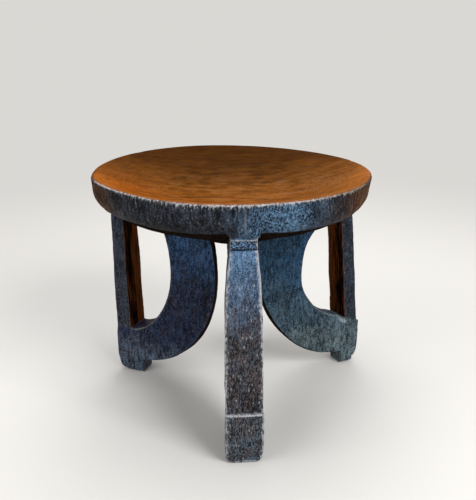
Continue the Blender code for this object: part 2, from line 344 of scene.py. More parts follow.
def leg_surface(leg, seed):
    """Return a whole leg's grid of points and masks, and the rows where its foot and its brace begin.

    Each station is a straight line across the leg's side view, and the ring carries it round the leg's
    thickness. Gouge cuts and noise then move the points along their normals.
    """
    split = BLOCK_OUTER - leg["heel"] - leg["stub"] - SEAM_INSET
    split_turn = 180.0 + math.degrees(math.acos((POST_INNER - split) / WINDOW_REACH))
    stretches = [
        post_stations(leg),
        foot_stations(leg, split, split_turn),
        brace_stations(leg, split, split_turn),
    ]
    inner = np.concatenate([stretch[0] for stretch in stretches])
    outer = np.concatenate([stretch[1] for stretch in stretches])
    foot_row = len(stretches[0][0]) - 1
    brace_row = foot_row + len(stretches[1][0])

    flat, bulge, width, swell = leg_ring()
    span = outer - inner
    length = np.linalg.norm(span, axis=1)[:, None]
    row = np.arange(len(inner))[:, None]
    inner_round = EDGE_ROUND + (SILL_ROUND - EDGE_ROUND) * ease(row, foot_row, foot_row + 40)
    corner = np.where(bulge < 0.0, inner_round, EDGE_ROUND)
    side_length = length - inner_round - EDGE_ROUND
    across = inner_round + side_length * flat + corner * bulge
    above_sole = ease(outer[:, 1:], *SOLE_FLAT)
    across = across + FACE_CROWN * above_sole * (1.0 - width ** 2) * (bulge > 0.0)
    side_view = inner[:, None, :] + span[:, None, :] * (across / length)[..., None]
    z = side_view[..., 1]
    u = side_view[..., 0] + lean_at(leg, z)
    half = leg_half_width(u, z, leg)
    v = (half - corner) * width + corner * swell
    pared = np.minimum(1.0, leg["stub_far"] / half)
    pared = pared + (1.0 - pared) * ease(z, STUB_HEIGHT - PARED_BELOW, STUB_HEIGHT + PARED_ABOVE)
    away = np.clip(v * leg["far_side"] / half, 0.0, 1.0)
    v = np.where(away > 0.0, v * pared, v)
    on_sill = ease(row, foot_row + 6, foot_row + 30) * (1.0 - ease(row, brace_row, brace_row + 70))
    below_sill = side_length * flat
    z = z - leg["crown"] * away ** CROWN_POWER * on_sill * (1.0 - ease(below_sill, 0.0, CROWN_DEPTH))
    turn = math.radians(leg["azimuth"])
    x = AXIS.x + u * math.cos(turn) - v * math.sin(turn)
    y = AXIS.y + u * math.sin(turn) + v * math.cos(turn)
    points = np.stack([x, y, z], axis=-1)

    side_gap = side_length * np.minimum(flat, 1.0 - flat)
    face_gap = (half - corner) * (1.0 - np.abs(width))
    arc_gap = corner * np.abs(np.arctan2(np.abs(bulge), np.abs(swell)) - math.pi / 4)
    edge = np.exp(-((side_gap + face_gap + arc_gap) / leg["worn"]) ** 2)
    cut = GOUGE_DEPTH * (gouge_cuts(points, GOUGE_SIZE, seed) - GOUGE_LEVEL)
    cut += WAVE_DEPTH * lattice_noise(points, WAVE_SIZE, seed + 1)
    cut += EDGE_WAVE_DEPTH * edge * lattice_noise(points, EDGE_WAVE_SIZE, seed + 2)
    cut -= CHIP_DEPTH * edge * ease(lattice_noise(points, CHIP_SIZE, seed + 3), 0.35, 0.85)
    cut = cut * ease(z, 0.0, 0.004) * (1.0 - 0.7 * ease(z, COLLAR_FOOT, COLLAR_TOP))
    points = points + grid_normals(points) * cut[..., None]

    outside = ease(bulge, 0.2, 0.9) * np.ones_like(z)
    ledge = np.exp(-((z - LEDGE_HEIGHT + 0.0008) / 0.0013) ** 2)
    collar = np.exp(-((z - COLLAR_TOP + 0.0004) / 0.0009) ** 2)
    sole = np.exp(-((z - 0.0018) / 0.0018) ** 2)
    on_post = 1.0 - ease(row, foot_row, foot_row + 30)
    # Painted shade: the line cut under the collar is painted near black.
    groove_shade = np.exp(-((z - COLLAR_FOOT + INCISION_HALF) / INCISION_HALF) ** 2)
    on_brace = ease(row, brace_row - 6, brace_row + 12)
    inside = ease(-bulge, 0.2, 0.9)
    # Painted light: on the right leg's sill, a pale strip by the post where the face stands lit, most on its
    # near half.
    from_post = POST_INNER - inner[:, :1]
    facet_light = ease(from_post, 0.0, 0.0015) * (1.0 - ease(from_post, 0.6 * NOTCH_REACH, 1.1 * NOTCH_REACH))
    facet_light = leg["facet_light"] * facet_light * (1.0 - ease(below_sill, *FACET_DEPTH))
    facet_light = facet_light * ease(-width * leg["far_side"], -0.6, 0.2)
    # Painted highlight: the window's lower edges are paler, most on the side legs.
    sill_edge_highlight = edge * (bulge < 0.0) * ease(row, foot_row, foot_row + 8)
    sill_edge_highlight = sill_edge_highlight * (1.0 - ease(row, brace_row + 20, brace_row + 90))
    edge = edge * (1.0 - on_brace * (bulge > 0.0)) * np.where(bulge < 0.0, 0.6, 1.0)
    # Painted highlight: the front leg's outer face is paler high up along its right edge.
    edge = edge * (1.0 + leg["edge_highlight"] * ease(width, 0.5, 1.0) * ease(z, 0.120, 0.190) * (bulge > 0.0))
    # Painted highlights on the ledge and the collar, and wear on the sole's edge, all as pale lines.
    lines = np.maximum(LEDGE_HIGHLIGHT * ledge, np.maximum(COLLAR_HIGHLIGHT * collar, SOLE_WORN * sole))
    lines = lines * outside * (1.0 - on_brace)
    band = ease(z, COLLAR_FOOT, COLLAR_FOOT + COLLAR_SOFT) * (1.0 - ease(z, COLLAR_TOP - 0.0012, COLLAR_TOP))
    masks = {
        "edge": np.maximum(np.maximum(edge, lines), np.maximum(leg["sill_edge_highlight"] * sill_edge_highlight, facet_light)),
        "outside": outside,
        # Painted shade in the window: dark on the post's inner faces, less on the sill, darker still towards
        # the near edge.
        "window": inside * (SILL_DARK + (1.0 - SILL_DARK) * on_post),
        "painted_near_shade": inside * on_post * ease(-width * leg["far_side"], -0.5, 0.5),
        # Painted shade: the brace's inner edge face is painted near black.
        "brace_edge_shade": ease(bulge, 0.05, 0.45) * on_brace,
        "groove_shade": outside * groove_shade * on_post,
        "collar": outside * on_post * band,
        "post": (1.0 - outside) * on_post,
    }
    return points, masks, foot_row, brace_row


def add_node(tree, kind, inputs=None, **settings):
    """Add a node with these settings, and link or set its inputs, which are given by name or number.

    A colour is given as red, green and blue.
    """
    node = tree.nodes.new(kind)
    for key, value in settings.items():
        setattr(node, key, value)
    for socket, value in (inputs or {}).items():
        if isinstance(value, bpy.types.NodeSocket):
            tree.links.new(value, node.inputs[socket])
        elif node.inputs[socket].type == "RGBA":
            node.inputs[socket].default_value = (*value, 1.0)
        else:
            node.inputs[socket].default_value = value
    return node


def reckon(tree, operation, first, second=0.0, third=0.0):
    """Return the result of one sum on masks."""
    inputs = {0: first, 1: second, 2: third}
    return add_node(tree, "ShaderNodeMath", inputs, operation=operation).outputs[0]


def step_between(tree, value, start, end, most=1.0):
    """Return a mask that rises smoothly from 0 at start to its most at end."""
    inputs = {"Value": value, "From Min": start, "From Max": end, "To Max": most}
    return add_node(tree, "ShaderNodeMapRange", inputs, interpolation_type="SMOOTHSTEP").outputs[0]


def blend(tree, share, first, second):
    """Return a colour between the first and the second, by this share."""
    return add_node(tree, "ShaderNodeMix", {0: share, 6: first, 7: second}, data_type="RGBA").outputs[2]


def shade(tree, share, colour, tint):
    """Return a colour multiplied by a tint, by this share."""
    inputs = {0: share, 6: colour, 7: tint}
    return add_node(tree, "ShaderNodeMix", inputs, data_type="RGBA", blend_type="MULTIPLY").outputs[2]


def between(tree, share, first, second):
    """Return a value between the first and the second, by this share."""
    return add_node(tree, "ShaderNodeMix", {0: share, 2: first, 3: second}).outputs[0]


def noise(tree, vector, scale, detail=2.0, roughness=0.5):
    """Return a noise mask of this many cells a metre."""
    inputs = {"Vector": vector, "Scale": scale, "Detail": detail, "Roughness": roughness}
    return add_node(tree, "ShaderNodeTexNoise", inputs).outputs["Fac"]


def stretched(tree, vector, factors):
    """Return coordinates multiplied along each axis, which draws a pattern out where the factor is small."""
    return add_node(tree, "ShaderNodeVectorMath", {0: vector, 1: factors}, operation="MULTIPLY").outputs[0]


def drawn_noise(tree, vector, cells, detail=2.0, roughness=0.5):
    """Return a noise mask with its own number of cells a metre along each axis."""
    return noise(tree, stretched(tree, vector, cells), 1.0, detail, roughness)


def mask_of(tree, name):
    """Return a mask stored on the mesh."""
    return add_node(tree, "ShaderNodeAttribute", attribute_name=name).outputs["Fac"]


def new_group(name, inputs, outputs):
    """Return an empty shader group with named sockets, its given values and its results."""
    group = bpy.data.node_groups.new(name, "ShaderNodeTree")
    for socket, kind in inputs.items():
        group.interface.new_socket(socket, in_out="INPUT", socket_type="NodeSocket" + kind)
    for socket, kind in outputs.items():
        group.interface.new_socket(socket, in_out="OUTPUT", socket_type="NodeSocket" + kind)
    return group, group.nodes.new("NodeGroupInput").outputs, group.nodes.new("NodeGroupOutput").inputs


def use_group(tree, group, inputs):
    """Place a group in a material and return its outputs."""
    return add_node(tree, "ShaderNodeGroup", inputs, node_tree=group).outputs


def tool_marks_group():
    """Make the carver's marks: ridges left between strokes, long scraped streaks, grit, and a height of all.

    A ridge lies where noise, drawn out along the strokes and bent by slower noise, is near its middle value.
    """
    sockets = {"Vector": "Vector", "Strokes": "Vector", "Scrapes": "Vector", "Curl": "Float"}
    results = {"Ridge": "Float", "Streak": "Float", "Grit": "Float", "Height": "Float"}
    group, given, result = new_group("tool_marks", sockets, results)
    drawn = stretched(group, given["Vector"], given["Strokes"])
    waver = reckon(group, "MULTIPLY", noise(group, given["Vector"], 170.0, 2.0), given["Curl"])
    bent = add_node(group, "ShaderNodeVectorMath", {0: drawn, 1: waver}, operation="ADD").outputs[0]
    off = reckon(group, "ABSOLUTE", reckon(group, "SUBTRACT", noise(group, bent, 1.0, 2.0, 0.55), 0.5))
    ridge = step_between(group, off, 0.11, 0.0)
    streak = drawn_noise(group, given["Vector"], given["Scrapes"], 4.0, 0.65)
    grit = noise(group, given["Vector"], 760.0, 2.0, 0.6)
    height = reckon(group, "MULTIPLY_ADD", grit, 0.5, reckon(group, "MULTIPLY", ridge, 0.5))
    group.links.new(ridge, result["Ridge"])
    group.links.new(streak, result["Streak"])
    group.links.new(grit, result["Grit"])
    group.links.new(reckon(group, "MULTIPLY_ADD", streak, 0.9, height), result["Height"])
    return group


def patina_group():
    """Make the dark skin of handled wood: a deep tone and a rubbed one, mixed by patches and tool marks."""
    sockets = {"Vector": "Vector", "Mark": "Float", "Deep": "Color", "Rubbed": "Color"}
    group, given, result = new_group("dark_patina", sockets, {"Color": "Color", "Rub": "Float"})
    patch = noise(group, given["Vector"], 42.0, 4.0, 0.6)
    rub = step_between(group, reckon(group, "MULTIPLY_ADD", patch, 0.50, given["Mark"]), 0.44, 0.94)
    group.links.new(blend(group, rub, given["Deep"], given["Rubbed"]), result["Color"])
    group.links.new(rub, result["Rub"])
    return group


def worn_edge_group():
    """Make broken wear, with the painted highlights that the edge mask carries: closeness to an edge, with
    noise added, past a threshold.
    """
    sockets = {"Vector": "Vector", "Chips": "Vector", "Edge": "Float", "Amount": "Float"}
    group, given, result = new_group("worn_edge", sockets, {"Wear and highlight": "Float"})
    chips = drawn_noise(group, given["Vector"], given["Chips"], 4.0, 0.7)
    chips = reckon(group, "MULTIPLY", chips, 3.0)
    worn = reckon(group, "MULTIPLY_ADD", given["Edge"], given["Amount"], chips)
    group.links.new(step_between(group, worn, 1.95, 2.65), result["Wear and highlight"])
    return group


def specks_group():
    """Make small pale specks, partly chips and partly painted glints: the middles of scattered cells, kept
    only where slow noise is high.
    """
    sockets = {"Vector": "Vector", "Cells": "Vector"}
    group, given, result = new_group("pale_specks", sockets, {"Speck": "Float"})
    cells = stretched(group, given["Vector"], given["Cells"])
    spots = add_node(group, "ShaderNodeTexVoronoi", {"Vector": cells, "Scale": 1.0}).outputs["Distance"]
    where = step_between(group, noise(group, given["Vector"], 110.0, 3.0, 0.6), 0.46, 0.62)
    group.links.new(step_between(group, spots, 0.40, 0.10, where), result["Speck"])
    return group


tool_marks = tool_marks_group()
patina = patina_group()
worn_edge = worn_edge_group()
pale_specks = specks_group()


PATINA_ROUGH = (0.70, 0.50)
MARK_DEPTH = 0.0014


def new_wood(name):
    """Return a new waxed wood, its node tree, its shader and its object coordinates."""
    material = bpy.data.materials.new(name)
    material.use_nodes = True
    tree = material.node_tree
    shader = tree.nodes["Principled BSDF"]
    shader.inputs["Specular IOR Level"].default_value = 0.0
    shader.inputs["Coat Roughness"].default_value = 0.32
    shader.inputs["Coat IOR"].default_value = 1.45
    return material, tree, shader, add_node(tree, "ShaderNodeTexCoord").outputs["Object"]


def mix_marks(tree, grit, grit_share, mark, mark_share, less):
    """Return grit and one kind of tool mark, each times its share, less a threshold."""
    marked = reckon(tree, "MULTIPLY", mark, mark_share)
    return reckon(tree, "SUBTRACT", reckon(tree, "MULTIPLY_ADD", grit, grit_share, marked), less)


def dent(tree, shader, height):
    """Give a shader the relief of these heights."""
    bump = add_node(tree, "ShaderNodeBump", {"Strength": 1.0, "Distance": MARK_DEPTH, "Height": height})
    tree.links.new(bump.outputs[0], shader.inputs["Normal"])


def leg_wood(name, shades):
    """Return a leg's finish: patina, its blue-grey painted sky reflection and lighter high up as a painted
    sheen, black and brown in the window as painted shade and painted warm bounce light, worn edges with
    painted highlights, and painted shade on the brace's inner edge and in the groove.
    """
    material, tree, shader, place = new_wood(name)
    height = add_node(tree, "ShaderNodeSeparateXYZ", {0: place}).outputs["Z"]
    marks = use_group(tree, tool_marks, {
        "Vector": place,
        "Strokes": (480.0, 480.0, 150.0),
        "Scrapes": (340.0, 340.0, 120.0),
        "Curl": 2.0,
    })
    # Painted sheen: higher up the tones turn to the lighter, bluer high ones, most on the front leg's face.
    uneven = reckon(tree, "MULTIPLY_ADD", noise(tree, place, 30.0, 3.0), 0.060, height)
    high = step_between(tree, uneven, *shades["fade"])
    low = step_between(tree, uneven, *shades["pale_foot"])
    below_ledge = step_between(tree, height, LEDGE_HEIGHT + 0.001, LEDGE_HEIGHT - 0.001)
    outside = mask_of(tree, "outside")
    post = mask_of(tree, "post")
    tones = []
    for i in range(2):
        face = blend(tree, high, shades["low"][i], shades["high"][i])
        face = blend(tree, below_ledge, face, shades["foot"][i])
        flank = blend(tree, high, shades["shank"][i], shades["side"][i])
        flank = blend(tree, low, flank, shades["foot"][i])
        flank = blend(tree, post, flank, shades["post"][i])
        tones.append(blend(tree, outside, flank, face))
    deep, rubbed = tones
    tint = drawn_noise(tree, place, (150.0, 150.0, 60.0), 3.0, 0.65)
    tint = step_between(tree, tint, 0.40, 0.64, between(tree, high, shades["browned"], 0.10))
    on_face = reckon(tree, "MULTIPLY", outside, between(tree, high, 1.0, 0.35))
    scraped = mix_marks(tree, marks["Grit"], 1.10, marks["Streak"], 1.00, 0.63)
    struck = mix_marks(tree, marks["Grit"], 1.05, marks["Ridge"], 0.42, 0.32)
    skin = use_group(tree, patina, {
        "Vector": place,
        "Mark": between(tree, on_face, scraped, struck),
        "Deep": deep,
        "Rubbed": blend(tree, tint, rubbed, shades["brown"]),
    })
    edge = mask_of(tree, "edge")
    chips = {"Vector": place, "Chips": (480.0, 480.0, 210.0), "Edge": edge, "Amount": shades["wear"]}
    worn = use_group(tree, worn_edge, chips)["Wear and highlight"]
    speck = use_group(tree, pale_specks, {"Vector": place, "Cells": (360.0, 360.0, 150.0)})["Speck"]
    speck = reckon(tree, "MULTIPLY", speck, between(tree, outside, *shades["specks"]))
    tone = blend(tree, reckon(tree, "MAXIMUM", worn, speck), skin["Color"], shades["worn"])
    band = step_between(tree, marks["Grit"], 0.66, 0.44, mask_of(tree, "collar"))
    tone = blend(tree, band, tone, (0.008, 0.013, 0.022))
    # Painted shade: near black in the line cut under the collar.
    groove_shade = mask_of(tree, "groove_shade")
    tone = blend(tree, groove_shade, tone, (0.003, 0.003, 0.004))
    # Painted shade: the window's faces are black with brown patches, darker towards the near edge; the
    # browner far half is painted warm bounce light.
    window = mask_of(tree, "window")
    window_shade = drawn_noise(tree, place, (260.0, 260.0, 24.0), 3.0, 0.6)
    window_shade = reckon(tree, "MULTIPLY_ADD", mask_of(tree, "painted_near_shade"), -0.20, reckon(tree, "ADD", window_shade, 0.07))
    brown_and_bounce = step_between(tree, window_shade, 0.32, 0.62)
    tone = blend(tree, window, tone, blend(tree, brown_and_bounce, (0.006, 0.003, 0.002), (0.170, 0.052, 0.014)))
    # Painted shade: near black on the brace's inner edge face.
    brace_edge_shade = mask_of(tree, "brace_edge_shade")
    brace_edge_shade_tone = blend(tree, marks["Streak"], (0.004, 0.003, 0.003), (0.024, 0.015, 0.012))
    tone = blend(tree, brace_edge_shade, tone, brace_edge_shade_tone)
    tree.links.new(tone, shader.inputs["Base Color"])
    tree.links.new(between(tree, skin["Rub"], *PATINA_ROUGH), shader.inputs["Roughness"])
    wax = between(tree, edge, between(tree, outside, 0.20, 0.35), 0.80)
    dull = reckon(tree, "MAXIMUM", reckon(tree, "MAXIMUM", window, groove_shade), brace_edge_shade)
    wax = reckon(tree, "MULTIPLY", reckon(tree, "SUBTRACT", 1.0, dull), wax)
    tree.links.new(wax, shader.inputs["Coat Weight"])
    dent(tree, shader, marks["Height"])
    return material


# Tones of each leg, a deep one and a rubbed one. Their blue is painted sky reflection, and high on the front
# leg's face the lighter, bluer tones are a painted sheen.
SHADES = {
    "front": dict(
        side=((0.006, 0.010, 0.016), (0.044, 0.063, 0.092)),
        shank=((0.006, 0.008, 0.012), (0.044, 0.054, 0.076)),
        post=((0.006, 0.008, 0.012), (0.051, 0.060, 0.081)),
        foot=((0.004, 0.005, 0.007), (0.094, 0.128, 0.166)),
        high=((0.026, 0.050, 0.092), (0.154, 0.295, 0.508)),
        low=((0.003, 0.003, 0.004), (0.068, 0.076, 0.096)),
        worn=(0.380, 0.395, 0.435),
        brown=(0.108, 0.066, 0.050),
        browned=0.62,
        fade=(0.155, 0.262),
        pale_foot=(0.105, 0.070),
        wear=0.84,
        specks=(0.16, 0.58),
    ),
    "left": dict(
        side=((0.001, 0.004, 0.011), (0.061, 0.162, 0.360)),
        shank=((0.001, 0.002, 0.005), (0.030, 0.054, 0.128)),
        post=((0.004, 0.006, 0.011), (0.059, 0.074, 0.108)),
        foot=((0.010, 0.013, 0.020), (0.149, 0.199, 0.285)),
        high=((0.004, 0.008, 0.014), (0.074, 0.101, 0.147)),
        low=((0.008, 0.010, 0.016), (0.103, 0.120, 0.155)),
        worn=(0.180, 0.200, 0.235),
        brown=(0.088, 0.056, 0.044),
        browned=0.40,
        fade=(0.130, 0.220),
        pale_foot=(0.088, 0.056),
        wear=0.40,
        specks=(0.34, 0.24),
    ),
    "right": dict(
        side=((0.002, 0.010, 0.022), (0.032, 0.097, 0.192)),
        shank=((0.005, 0.012, 0.020), (0.076, 0.134, 0.185)),
        post=((0.004, 0.005, 0.008), (0.038, 0.050, 0.074)),
        foot=((0.014, 0.022, 0.026), (0.156, 0.220, 0.255)),
        high=((0.004, 0.008, 0.014), (0.074, 0.101, 0.147)),
        low=((0.011, 0.016, 0.020), (0.124, 0.161, 0.185)),
        worn=(0.225, 0.290, 0.320),
        brown=(0.084, 0.082, 0.076),
        browned=0.30,
        fade=(0.100, 0.190),
        pale_foot=(0.105, 0.070),
        wear=0.40,
        specks=(0.26, 0.24),
    ),
}
for number, (leg_name, leg) in enumerate(LEGS.items()):
    points, masks, foot_row, brace_row = leg_surface(leg, 100 + 10 * number)
    normals = grid_normals(points)
    finish = leg_wood("leg_wood_" + leg_name, SHADES[leg_name])
    cuts = {
        "post": slice(0, foot_row + 1),
        "foot": slice(foot_row, brace_row + 1),
        "brace": slice(brace_row, len(points)),
    }
    for kind, rows in cuts.items():
        shown = {mask: values[rows] for mask, values in masks.items()}
        piece = put_tube("carved_" + leg_name + "_" + kind, points[rows], normals[rows], shown)
        piece.data.materials.append(finish)
        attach(piece, "root")
        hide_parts("leg_" + leg_name + "_" + kind)


# Seat
# A round bowl of the same block. The dish is brown and sat smooth, lighter on its walls as painted light and
# darker far off as painted shade. Its lip is worn pale with painted highlights. The rim and the underside are
# near black and still show the small gouge; the rim's front is blue as painted sky reflection, its ends brown
# as painted warm reflection, and the underside is painted near black as shade. Over each leg the rim runs
# down into its head.
DISH_DEPTH = 0.026
DISH_POWER = 2.3
LIP_WIDTH = 0.0045
LIP_DROP = 0.0032
RIM_SIDE = 0.015
RIM_EDGE = 0.0268
RIM_DEEPER = 0.0045
RIM_CRISP = 0.0022
RIM_FADE = 0.0045
UNDER_FADE = 0.0022
# Bells over azimuth: how high each is, and its middle and width in degrees.
RIM_LIFT = ((0.0040, 220.0, 26.0),)
RIM_DRAWN_IN = ((0.0030, -15.0, 28.0), (0.0012, 190.0, 30.0))
RIM_SWAY = ((0.0022, 138.0, 48.0), (0.0028, 214.0, 24.0), (0.0026, -72.0, 44.0))
BELLY_DROOP = ((0.0035, -97.0, 7.0), (0.0015, -82.0, 6.0))
LIP_DRIPS = ((0.0022, -112.0, 26.0), (-0.0014, -155.0, 20.0))
# Painted highlights: the worn lip is brighter by these bells, in front on the right and at the front left.
LIP_HIGHLIGHT = ((0.20, -80.0, 26.0), (0.45, -150.0, 14.0))
# Painted reflection: brown at both ends of the rim stands for a warm wall reflected there.
RIM_WARM_REFLECTION = ((2.0, 188.0, 21.0), (1.4, -18.0, 28.0))
BELLY_DEPTH = SEAT_TOP - seat_low.z - RIM_SIDE
BELLY_POWER = 2.4
SEAT_TURNS = 720


def around(angles, middle, width):
    """Return a bell over azimuth: 1 at the middle, falling off by a Gaussian of this width, in degrees."""
    turn = (np.degrees(angles) - middle + 180.0) % 360.0 - 180.0
    return np.exp(-(turn / width) ** 2)


def bells(angles, hills):
    """Return a sum of bells over azimuth."""
    return sum(height * around(angles, middle, width) for height, middle, width in hills)


def seat_section():
    """Return the turned form's half section: radius, depth, whether it is the dish, and length past the lip.

    From the middle of the dish, whose depth falls as one less the radius to a power, it goes over the lip, a
    quarter ellipse, down the side and in along the belly, whose depth is the root of one less the radius to
    a power.
    """
    edge = SEAT_RADIUS - LIP_WIDTH
    dish_radius = edge * np.linspace(0.012, 1.0, 48)
    dish_depth = DISH_DEPTH * (1.0 - (dish_radius / edge) ** DISH_POWER)
    turn = np.linspace(0.0, math.pi / 2, 9)[1:]
    side_depth = np.linspace(LIP_DROP, RIM_SIDE, 12)[1:]
    bend = np.concatenate([np.linspace(0.0, 0.66, 36)[1:], np.linspace(0.66, 1.562, 26)[1:]])
    radius = np.concatenate([
        dish_radius,
        edge + LIP_WIDTH * np.sin(turn),
        np.full(len(side_depth), SEAT_RADIUS),
        SEAT_RADIUS * np.cos(bend) ** (2.0 / BELLY_POWER),
    ])
    depth = np.concatenate([
        dish_depth,
        LIP_DROP * (1.0 - np.cos(turn)),
        side_depth,
        RIM_SIDE + BELLY_DEPTH * np.sin(bend),
    ])
    inside = np.arange(len(radius)) < len(dish_radius)
    walked = np.concatenate([[0.0], np.cumsum(np.hypot(np.diff(radius), np.diff(depth)))])
    return radius[:, None], depth[:, None], inside[:, None], (walked - walked[len(dish_radius) + 4])[:, None]


def seat_surface():
    """Return the seat's grid of points and its masks.

    Bells over azimuth lift, draw in and sway the turned form as a carver's hand does, and the rim comes out
    to each leg's head. Gouge cuts and noise then move the points along their normals.
    """
    radius, depth, inside, past_lip = seat_section()
    angle = np.linspace(-1.5 * math.pi, 0.5 * math.pi, SEAT_TURNS, endpoint=False)
    share = radius / SEAT_RADIUS
    low = np.clip(depth / RIM_SIDE, 0.0, 1.0) * ~inside * share ** 6
    lift = bells(angle, RIM_LIFT)
    draw_in = bells(angle, RIM_DRAWN_IN)
    sway = bells(angle, RIM_SWAY) + 0.0006 * np.cos(3.0 * angle + 0.7)
    out_of_round = 1.0 + 0.0022 * np.cos(2.0 * angle + 0.9) + 0.0012 * np.cos(5.0 * angle)
    spread = radius * out_of_round - draw_in * low
    crisp = around(angle, -92.0, 46.0)
    edge = RIM_EDGE + RIM_DEEPER * (1.0 - around(angle, -89.0, 21.0))
    for leg in LEGS.values():
        turn = (np.degrees(angle) - leg["azimuth"] + 180.0) % 360.0 - 180.0
        brink = math.degrees(math.atan2(leg["neck"] / 2, POST_OUTER)) + 0.25
        onto = ease(turn, -brink - 0.6, -brink) * (1.0 - ease(turn, brink, brink + 1.2))
        edge = edge + (SEAT_TOP - COLLAR_TOP - 0.0022 - edge) * onto
        head = POST_OUTER + 0.0012 + lean_at(leg, SEAT_TOP - depth)
        head = head / np.cos(np.radians(np.clip(turn, -15.0, 15.0)))
        onto = onto * ease(depth, 0.006, 0.020) * (1.0 - ease(depth, edge, edge + 0.0017)) * ~inside
        spread = spread + onto * np.maximum(head - spread, 0.0)
    corner = np.clip((depth - RIM_SIDE) / (edge - RIM_SIDE), 0.0, 1.0)
    corner = corner * np.clip(1.0 - (depth - edge) / RIM_FADE, 0.0, 1.0)
    # Painted shade: the underside below the rim's lower edge is painted near black.
    under = ease(depth, edge, edge + UNDER_FADE) * ~inside
    spread = spread + RIM_CRISP * crisp * corner * ~inside
    spread = spread - 0.0008 * under * (crisp + 0.4) * ease(share, 0.75, 0.90)
    droop = bells(angle, BELLY_DROOP) * ease(depth, 0.030, 0.036) * ease(share, 0.55, 0.75) * ~inside
    sway = sway * share ** 4 * (1.0 - ease(depth, 0.004, 0.026) * ~inside)
    height = SEAT_TOP - depth + sway + lift * low - droop
    points = np.stack([AXIS.x + spread * np.cos(angle), AXIS.y + spread * np.sin(angle), height], axis=-1)

    rim = ease(past_lip, -0.001, 0.004) * (1.0 - 0.8 * under)
    belly = ease(depth, 0.036, 0.042) * ~inside
    dish = inside * (1.0 - ease(share, 0.94, 0.99))
    cut = 0.00060 * rim * (gouge_cuts(points, (0.0042, 0.0042, 0.0060), 11) - GOUGE_LEVEL)
    cut += 0.00040 * rim * lattice_noise(points, (0.010, 0.010, 0.016), 12)
    cut += 0.0011 * belly * (gouge_cuts(points, (0.016, 0.016, 0.016), 13) - GOUGE_LEVEL)
    cut += 0.00045 * dish * lattice_noise(points, (0.050, 0.022, 0.030), 14)
    on_lip = np.exp(-(past_lip / 0.0025) ** 2)
    cut -= 0.0007 * on_lip * ease(lattice_noise(points, CHIP_SIZE, 15), 0.25, 0.8)
    cut += 0.0004 * on_lip * lattice_noise(points, 0.020, 16)
    cut -= 0.0018 * on_lip * around(angle, 135.0, 1.6)
    split = around(angle, -89.6, 0.20) * ease(depth, 0.003, 0.007)
    split = split * (1.0 - ease(depth, 0.022, 0.028)) * ~inside
    points = points + grid_normals(points) * (cut - 0.0005 * split)[..., None]

    drips = 0.0030 + bells(angle, LIP_DRIPS)
    drips = drips * (1.0 + 0.45 * lattice_noise(points[60], 0.013, 17))
    falling = np.where(past_lip > 0.0, np.exp(-past_lip / drips), np.exp(-(past_lip / 0.0020) ** 2))
    rightwards = (np.degrees(angle) + 100.0 + 180.0) % 360.0 - 180.0
    from_front = np.abs(rightwards)
    # The lip's pale wear across the front, brightened by painted highlights.
    lip_wear_and_highlight = 0.92 * (1.0 - ease(rightwards, 62.0, 100.0)) * (1.0 - ease(-rightwards, 58.0, 76.0))
    lip_wear_and_highlight = lip_wear_and_highlight + bells(angle, LIP_HIGHLIGHT)
    masks = {
        "dish": 1.0 - ease(past_lip - 0.0045 * ease(from_front, 85.0, 115.0), -0.0035, 0.0010),
        "lip": falling * lip_wear_and_highlight,
        "tan": around(angle, -32.0, 25.0) * np.ones_like(radius),
        # Painted shade: a dark band along the lip on the dish's far side.
        "far_lip": 0.85 * np.exp(-((past_lip - 0.0005) / 0.0026) ** 2) * ease(from_front, 95.0, 125.0),
        # Painted reflection: the rim's front is lighter and blue where it stands for reflected sky.
        "painted_sky_sheen": around(angle, -76.0, 18.0) * rim,
        "under": under,
        "warm_reflection": np.clip(bells(angle, RIM_WARM_REFLECTION), 0.0, 1.0) * rim,
        "split": split,
    }
    return points, masks


